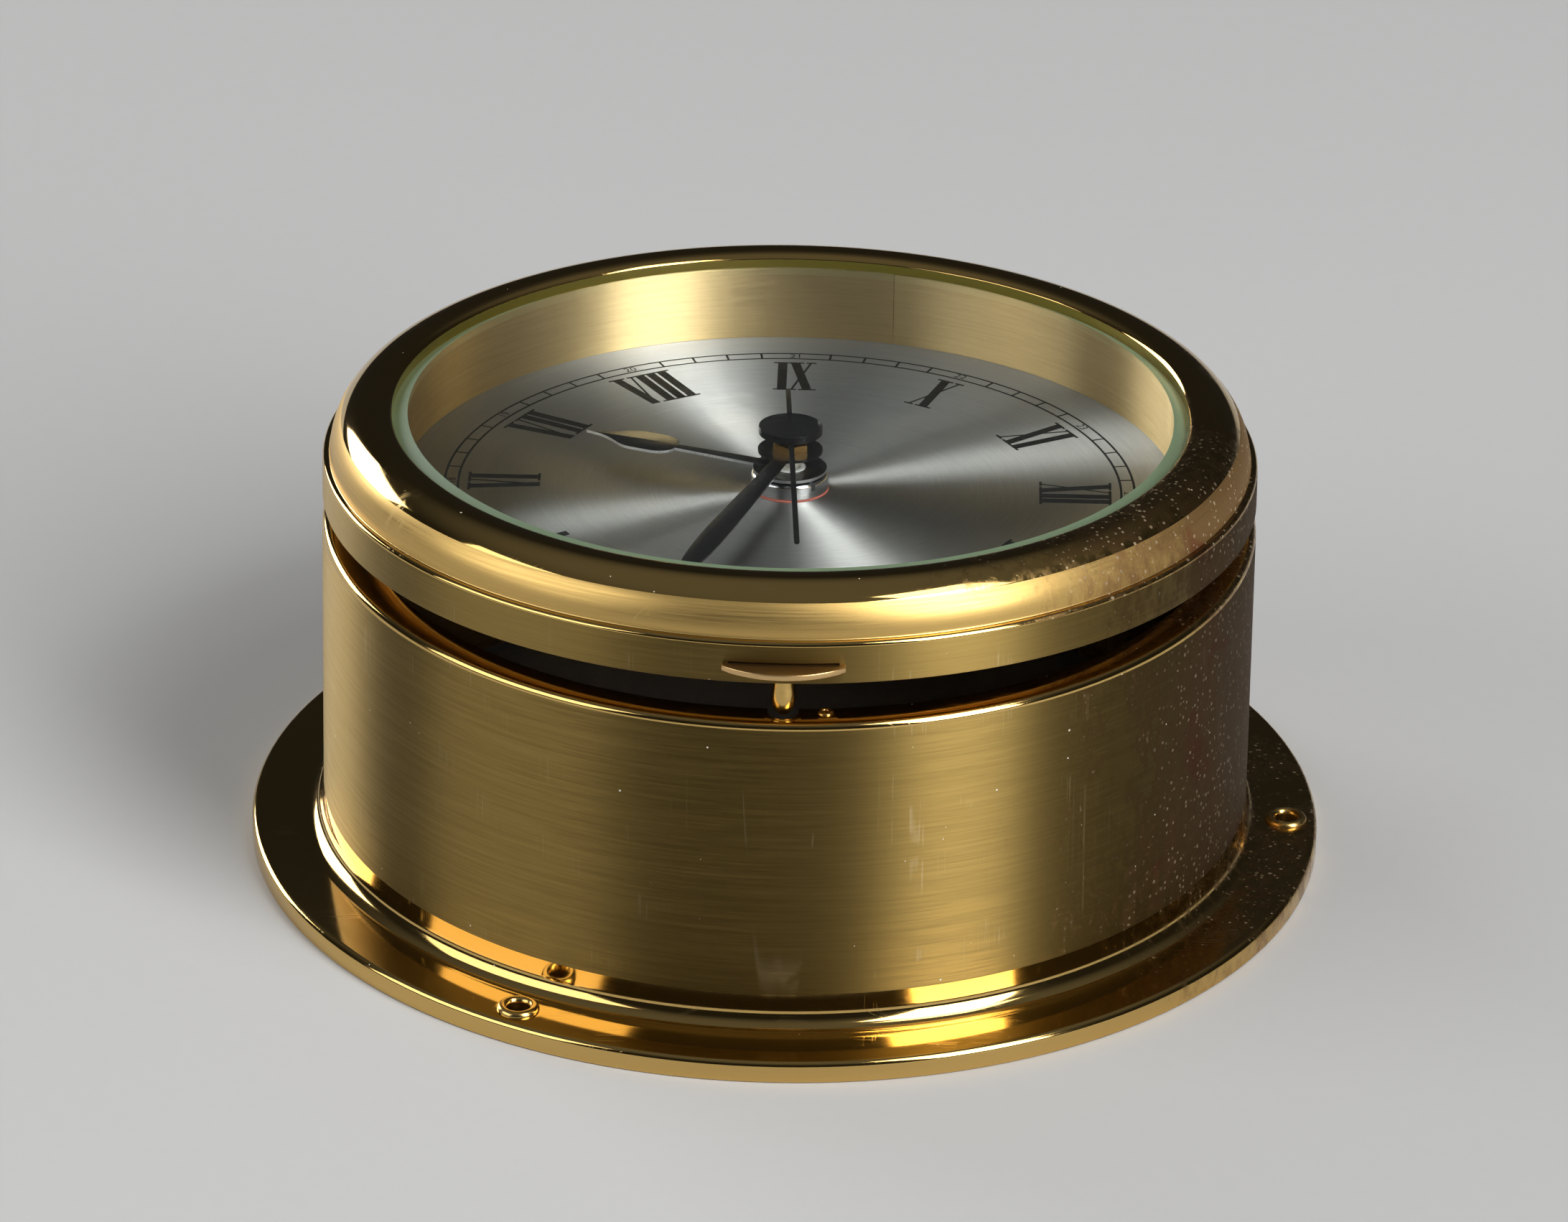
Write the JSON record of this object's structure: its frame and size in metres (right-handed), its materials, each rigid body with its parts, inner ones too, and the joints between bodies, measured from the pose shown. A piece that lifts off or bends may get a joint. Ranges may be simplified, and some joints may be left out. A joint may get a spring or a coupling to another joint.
{
  "type": "ship's clock",
  "caption": "Round brass ship's clock on a screw flange, its hinged glazed front ajar, with a silvered dial, black hands and a quartz movement behind.",
  "frame": {"origin": "centre of the flange's rim, in the plane it stands or is screwed on", "axes": "+Z out of the dial, +Y towards XII, +X towards III and the catch; the hinge is at -X"},
  "size_m": [0.1796, 0.1796, 0.0808],
  "materials": {
    "case_brass": "circumferentially brushed satin, tarnished in places",
    "polished_brass": "polished, fine circumferential scratches",
    "inner_brass": "brushed round the ring",
    "dull_brass": "dull, tarnished",
    "chrome": "polished",
    "spring_steel": "bright rolled",
    "winding": "enamelled copper wire, shown plain",
    "silvered_dial": "silvered, fine concentric brushing, black print",
    "glass": "clear, frosted bevel at its edge",
    "black_lacquer": "glossy black lacquer",
    "red_fibre": "pressed fibre",
    "black_plastic": "moulded, fine matt",
    "white_plastic": "moulded",
    "board": "printed board",
    "cell": "plain printed wrap, no lettering"
  },
  "bodies": {
    "case": {"case_body": "case_brass", "eyelet_xii": "polished_brass", "eyelet_iiii": "polished_brass", "eyelet_viii": "polished_brass", "catch_spring": "spring_steel", "catch_rivet": "polished_brass", "hinge_leaf_case": "dull_brass", "hinge_pin": "polished_brass", "hinge_rivet_case_1": "polished_brass", "hinge_rivet_case_2": "polished_brass"},
    "front": {"bezel_ring": "polished_brass", "glass": "glass", "inner_ring": "inner_brass", "dial_plate": "silvered_dial", "carrier_pan": "dull_brass", "hinge_leaf_bezel": "dull_brass", "hinge_rivet_bezel_1": "polished_brass", "hinge_rivet_bezel_2": "polished_brass", "pan_screw_1": "polished_brass", "pan_screw_2": "polished_brass", "pan_screw_3": "polished_brass", "pan_screw_4": "polished_brass", "finger_tab": "dull_brass", "snap_stud": "dull_brass", "fibre_washer": "red_fibre", "centre_nut": "chrome", "movement_housing": "black_plastic", "movement_cover": "black_plastic", "cover_screw_1": "spring_steel", "cover_screw_2": "spring_steel", "cover_screw_3": "spring_steel", "battery": "cell", "battery_contact_minus": "spring_steel", "battery_contact_plus": "spring_steel", "circuit_board": "board", "coil": "winding", "coil_core": "spring_steel", "stator": "spring_steel"},
    "seconds": {"second_wheel": "white_plastic", "second_hand": "black_lacquer"},
    "rotor": {"rotor": "spring_steel"},
    "intermediate": {"intermediate_wheel": "white_plastic"},
    "third": {"third_wheel": "white_plastic"},
    "centre": {"centre_wheel": "white_plastic"},
    "minutes": {"minute_tube": "chrome", "minute_hand": "black_lacquer", "minute_nut": "polished_brass"},
    "motion": {"motion_wheel": "white_plastic"},
    "hours": {"hour_wheel": "white_plastic", "hour_hand": "black_lacquer"},
    "setting": {"setting_knob": "white_plastic"}
  },
  "joints": [
    {"name": "front_hinge", "type": "hinge", "parent": "case", "child": "front", "pos_m": [-0.0804, 0, 0.05915], "axis": [0, -1, 0], "range_deg": [-2.35, 107.5]},
    {"name": "second_spin", "type": "hinge", "parent": "front", "child": "seconds", "pos_m": [-0.00006, 0, 0.06235], "axis": [0.041, 0, -0.9992], "continuous": true},
    {"name": "rotor_spin", "type": "hinge", "parent": "front", "child": "rotor", "pos_m": [-0.00658, -0.0041, 0.06208], "axis": [0.041, 0, -0.9992], "continuous": true},
    {"name": "intermediate_spin", "type": "hinge", "parent": "front", "child": "intermediate", "pos_m": [-0.00186, -0.00493, 0.06227], "axis": [0.041, 0, -0.9992], "continuous": true},
    {"name": "third_spin", "type": "hinge", "parent": "front", "child": "third", "pos_m": [-0.00006, 0.0056, 0.06235], "axis": [0.041, 0, -0.9992], "continuous": true},
    {"name": "centre_spin", "type": "hinge", "parent": "front", "child": "centre", "pos_m": [-0.00006, 0, 0.06235], "axis": [0.041, 0, -0.9992], "continuous": true},
    {"name": "minute_spin", "type": "hinge", "parent": "front", "child": "minutes", "pos_m": [-0.00006, 0, 0.06235], "axis": [0.041, 0, -0.9992], "continuous": true},
    {"name": "motion_spin", "type": "hinge", "parent": "front", "child": "motion", "pos_m": [0.00686, 0.004, 0.06263], "axis": [0.041, 0, -0.9992], "continuous": true},
    {"name": "hour_spin", "type": "hinge", "parent": "front", "child": "hours", "pos_m": [-0.00006, 0, 0.06235], "axis": [0.041, 0, -0.9992], "continuous": true},
    {"name": "setting_spin", "type": "hinge", "parent": "front", "child": "setting", "pos_m": [0.01375, 0.00979, 0.06291], "axis": [0.041, 0, -0.9992], "continuous": true}
  ],
  "couplings": [
    {"joint": "intermediate_spin", "follows": "second_spin", "ratio": -6},
    {"joint": "rotor_spin", "follows": "second_spin", "ratio": 30},
    {"joint": "third_spin", "follows": "second_spin", "ratio": -0.13333},
    {"joint": "centre_spin", "follows": "second_spin", "ratio": 0.016667},
    {"joint": "motion_spin", "follows": "minute_spin", "ratio": -0.33333},
    {"joint": "hour_spin", "follows": "minute_spin", "ratio": 0.083333},
    {"joint": "setting_spin", "follows": "minute_spin", "ratio": 0.66667}
  ]
}
